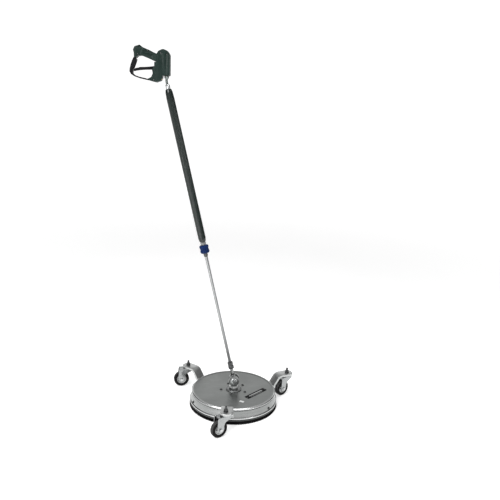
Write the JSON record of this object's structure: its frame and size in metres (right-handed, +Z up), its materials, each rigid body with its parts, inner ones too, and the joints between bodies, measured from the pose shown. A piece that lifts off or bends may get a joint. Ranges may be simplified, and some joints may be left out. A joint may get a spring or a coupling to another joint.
{
  "type": "surface cleaner",
  "caption": "Round stainless rotary surface cleaner: castored deck with brush skirt and spinning spray arms, on a tilting lance with an insulated sleeve and a trigger gun.",
  "frame": {"origin": "deck axis at floor level, where the brush rests", "axes": "+Z up along the deck axis; the lance leans to -X in the XZ plane; one castor stands towards -Y"},
  "size_m": [0.7698, 0.5409, 1.6001],
  "materials": {
    "deck_stainless": "brushed sheet, spun",
    "bracket_stainless": "pressed sheet",
    "polished_steel": "turned and polished",
    "zinc_plate": "bright zinc plate",
    "tube_steel": "satin drawn tube",
    "brass": "machined",
    "brush_black": "nylon bristle",
    "black_plastic": "moulded, fine grain",
    "sleeve_rubber": "fluted insulating sleeve",
    "blue_plastic": "moulded",
    "black_rubber": "nitrile",
    "tyre_rubber": "solid tyre",
    "rim_grey": "pressed disc",
    "spring_steel": "wire",
    "bearing_steel": "ground",
    "plate_dark": "blank plate"
  },
  "bodies": {
    "deck": {"deck_cover": "deck_stainless", "brush_carrier": "black_plastic", "skirt_brush": "brush_black", "brush_screws": "zinc_plate", "castor_brackets": "bracket_stainless", "bracket_bolts": "zinc_plate", "castor_stems": "zinc_plate", "castor_nuts": "zinc_plate", "union_body": "polished_steel", "union_ring": "bracket_stainless", "deck_screws": "zinc_plate", "union_bearings": "bearing_steel", "union_seal": "black_rubber", "hub_lock_nut": "polished_steel", "tilt_base": "polished_steel", "pivot_bolt": "polished_steel", "pivot_nut": "polished_steel", "blank_nameplate": "plate_dark"},
    "rotor": {"rotor_shaft": "polished_steel", "rotor_block": "brass", "spray_arms": "tube_steel", "nozzle_holders": "brass", "spray_nozzles": "polished_steel"},
    "lance": {"tilt_eye": "polished_steel", "lance_seals": "black_rubber", "neck_nipple": "polished_steel", "neck_coupling": "polished_steel", "lower_tube": "tube_steel", "lower_spigot": "brass", "upper_adapter": "polished_steel", "inner_tube": "tube_steel", "grip_sleeve": "sleeve_rubber", "sleeve_end_ring": "black_plastic", "top_union_nut": "polished_steel", "outlet_tube": "polished_steel", "gun_shell_front": "black_plastic", "gun_shell_rear": "black_plastic", "valve_block": "brass", "valve_spring": "spring_steel", "inlet_tube": "tube_steel", "inlet_socket": "brass", "trigger_guard": "black_plastic", "trigger_pin": "zinc_plate", "shell_screws": "zinc_plate"},
    "hand_nut": {"hand_nut": "blue_plastic"},
    "trigger": {"trigger": "black_plastic"},
    "valve_poppet": {"valve_poppet": "brass"},
    "safety_latch": {"safety_latch": "black_plastic"},
    "castor_left": {"castor_fork_left": "zinc_plate", "castor_axle_left": "zinc_plate"},
    "wheel_left": {"castor_rim_left": "rim_grey", "castor_tyre_left": "tyre_rubber"},
    "castor_right": {"castor_fork_right": "zinc_plate", "castor_axle_right": "zinc_plate"},
    "wheel_right": {"castor_rim_right": "rim_grey", "castor_tyre_right": "tyre_rubber"},
    "castor_front": {"castor_fork_front": "zinc_plate", "castor_axle_front": "zinc_plate"},
    "wheel_front": {"castor_rim_front": "rim_grey", "castor_tyre_front": "tyre_rubber"}
  },
  "joints": [
    {"name": "rotor_spin", "type": "hinge", "parent": "deck", "child": "rotor", "pos_m": [0, 0, 0.03], "axis": [0, 0, 1], "continuous": true},
    {"name": "lance_tilt", "type": "hinge", "parent": "deck", "child": "lance", "pos_m": [0, 0, 0.117], "axis": [0, 1, 0], "range_deg": [-46.25, 43.75]},
    {"name": "hand_nut_turn", "type": "hinge", "parent": "lance", "child": "hand_nut", "pos_m": [-0.15331, 0, 0.74352], "axis": [-0.2377, 0, 0.9713], "continuous": true},
    {"name": "trigger_pull", "type": "hinge", "parent": "lance", "child": "trigger", "pos_m": [-0.376, 0, 1.512], "axis": [0, 1, 0], "range_deg": [0, 14], "stiffness_Nm_per_rad": 1.2, "springref_deg": -6.88},
    {"name": "valve_slide", "type": "slide", "parent": "lance", "child": "valve_poppet", "axis": [0, 0, -1], "range_m": [0, 0.0042], "deforming": ["valve_spring"]},
    {"name": "latch_flip", "type": "hinge", "parent": "trigger", "child": "safety_latch", "pos_m": [-0.441, 0, 1.51], "axis": [0, -1, 0], "range_deg": [0, 70]},
    {"name": "castor_left_swivel", "type": "hinge", "parent": "deck", "child": "castor_left", "pos_m": [-0.23196, 0.1673, 0.098], "axis": [0, 0, 1], "continuous": true},
    {"name": "wheel_left_roll", "type": "hinge", "parent": "castor_left", "child": "wheel_left", "pos_m": [-0.26493, 0.16029, 0.0375], "axis": [-0.2079, 0.9781, 0], "continuous": true},
    {"name": "castor_right_swivel", "type": "hinge", "parent": "deck", "child": "castor_right", "pos_m": [0.26087, 0.11724, 0.098], "axis": [0, 0, 1], "continuous": true},
    {"name": "wheel_right_roll", "type": "hinge", "parent": "castor_right", "child": "wheel_right", "pos_m": [0.23582, 0.09469, 0.0375], "axis": [-0.6691, 0.7431, 0], "continuous": true},
    {"name": "castor_front_swivel", "type": "hinge", "parent": "deck", "child": "castor_front", "pos_m": [-0.0289, -0.28454, 0.098], "axis": [0, 0, 1], "continuous": true},
    {"name": "wheel_front_roll", "type": "hinge", "parent": "castor_front", "child": "wheel_front", "pos_m": [-0.05651, -0.30386, 0.0375], "axis": [-0.5736, 0.8192, 0], "continuous": true}
  ],
  "couplings": [
    {"joint": "valve_slide", "follows": "trigger_pull", "m_per_rad": 0.0165}
  ]
}
